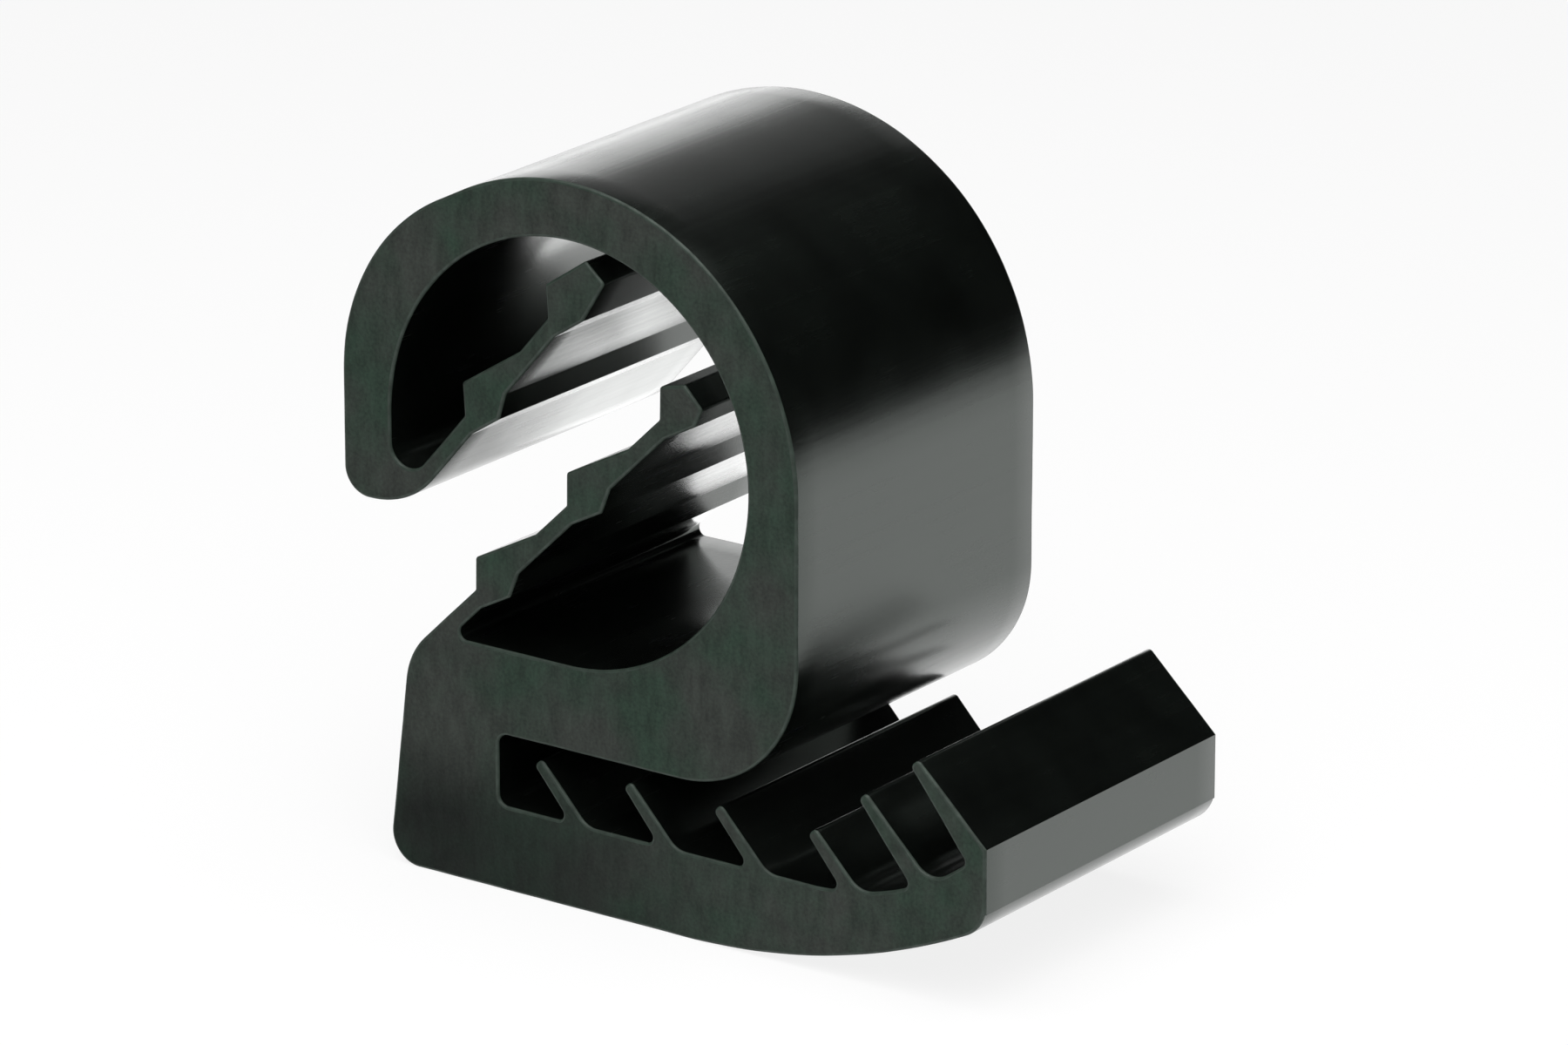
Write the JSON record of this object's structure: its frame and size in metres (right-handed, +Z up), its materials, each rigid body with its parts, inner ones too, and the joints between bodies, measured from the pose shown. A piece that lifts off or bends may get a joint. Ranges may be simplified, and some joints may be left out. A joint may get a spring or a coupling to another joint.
{
  "type": "cable clip",
  "caption": "Black plastic edge clip: a round hook with barbed spring tongues holds a cable above a slotted jaw whose raked fins grip the edge of a panel.",
  "frame": {"origin": "on the flat base, halfway along the clip's length, straight below the centre of the round hook", "axes": "+X along the panel slot towards its mouth, +Y along the cable, +Z up from the flat base"},
  "size_m": [0.023, 0.012, 0.0223],
  "materials": {
    "clip": "matt sawn ends, satin extruded faces"
  },
  "bodies": {
    "root": {"clip": "clip"}
  },
  "joints": []
}
